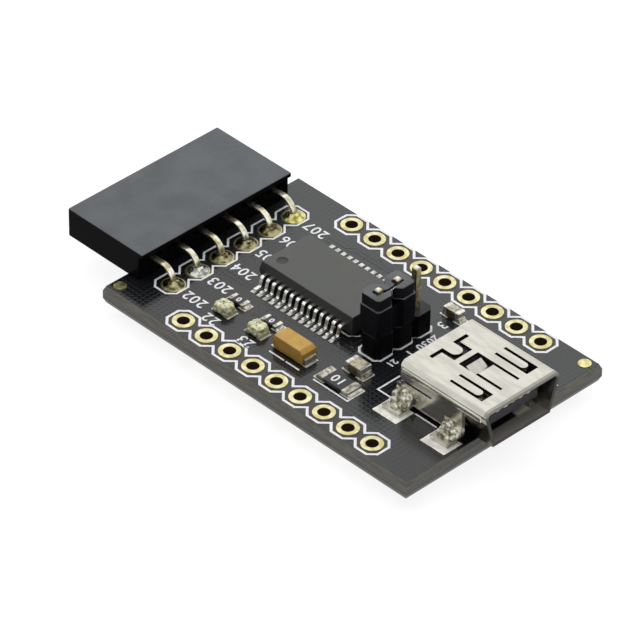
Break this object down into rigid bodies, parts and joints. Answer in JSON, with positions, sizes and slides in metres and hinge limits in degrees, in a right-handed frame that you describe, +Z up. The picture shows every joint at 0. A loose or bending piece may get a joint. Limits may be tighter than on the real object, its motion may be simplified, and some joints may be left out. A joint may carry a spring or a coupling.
{
  "type": "usb to serial adapter module",
  "caption": "Small circuit board that links a USB socket to a row of serial sockets, with a converter chip, jumper cap and plated holes along both sides.",
  "frame": {"origin": "middle of the grid of side holes, on the underside of the board", "axes": "+X towards the USB socket, -X towards the serial header, +Y across the board, +Z up out of the side with the parts"},
  "size_m": [0.041, 0.0208, 0.0086],
  "materials": {
    "solder_mask": "dark grey solder mask, satin, over glass laminate",
    "gold_plate": "pale gold plating",
    "tinned_land": "tinned copper, uneven",
    "header_plastic": "black moulded plastic",
    "contact_metal": "thin gold flash on bronze",
    "solder": "bright solder",
    "pin_metal": "dull gold plated square pin",
    "cap_plastic": "black moulded plastic",
    "clip_metal": "plated spring bronze",
    "socket_steel": "nickel plated sheet",
    "socket_plastic": "black moulded plastic",
    "chip_resin": "dark grey moulding compound",
    "lead_tin": "tin plated leads",
    "tantalum_resin": "ochre moulding compound",
    "fuse_resin": "black coating",
    "led_base": "pale laminate",
    "led_lens": "clear epoxy over a pale phosphor tone",
    "resistor_glaze": "black glaze on alumina",
    "tan_ceramic": "tan ceramic",
    "brown_ceramic": "brown ceramic",
    "end_tin": "tinned end"
  },
  "bodies": {
    "adapter_board": {"chip_lands": "tinned_land", "circuit_board": "solder_mask", "converter_chip_body": "chip_resin", "converter_chip_leads_back": "lead_tin", "converter_chip_leads_front": "lead_tin", "fiducial_dots": "gold_plate", "header_plated_holes": "gold_plate", "jumper_header_base": "header_plastic", "jumper_pin_1": "pin_metal", "jumper_pin_2": "pin_metal", "jumper_pin_3": "pin_metal", "jumper_plated_holes": "gold_plate", "jumper_solder": "solder", "large_capacitor_body": "tan_ceramic", "large_capacitor_ends": "end_tin", "plated_holes_back_row": "gold_plate", "plated_holes_front_row": "gold_plate", "receive_led_base": "led_base", "receive_led_lens": "led_lens", "receive_led_terminals": "end_tin", "receive_resistor_body": "resistor_glaze", "receive_resistor_ends": "end_tin", "resettable_fuse_body": "fuse_resin", "resettable_fuse_ends": "end_tin", "serial_header_contact_1": "contact_metal", "serial_header_contact_2": "contact_metal", "serial_header_contact_3": "contact_metal", "serial_header_contact_4": "contact_metal", "serial_header_contact_5": "contact_metal", "serial_header_contact_6": "contact_metal", "serial_header_housing": "header_plastic", "serial_header_solder": "solder", "small_capacitor_body": "brown_ceramic", "small_capacitor_ends": "end_tin", "small_part_lands": "tinned_land", "tantalum_capacitor_body": "tantalum_resin", "tantalum_capacitor_terminals": "end_tin", "transmit_led_base": "led_base", "transmit_led_lens": "led_lens", "transmit_led_terminals": "end_tin", "transmit_resistor_body": "resistor_glaze", "transmit_resistor_ends": "end_tin", "usb_contact_1": "contact_metal", "usb_contact_2": "contact_metal", "usb_contact_3": "contact_metal", "usb_contact_4": "contact_metal", "usb_contact_5": "contact_metal", "usb_contact_lands": "tinned_land", "usb_socket_insulator": "socket_plastic", "usb_socket_shell": "socket_steel", "usb_tab_lands": "tinned_land", "usb_tab_solder": "solder"},
    "jumper_cap": {"jumper_cap_housing": "cap_plastic", "jumper_cap_clip": "clip_metal"}
  },
  "joints": [
    {"name": "jumper_cap_pull", "type": "slide", "parent": "adapter_board", "child": "jumper_cap", "axis": [0, 0, 1], "range_m": [0, 0.0038]}
  ]
}
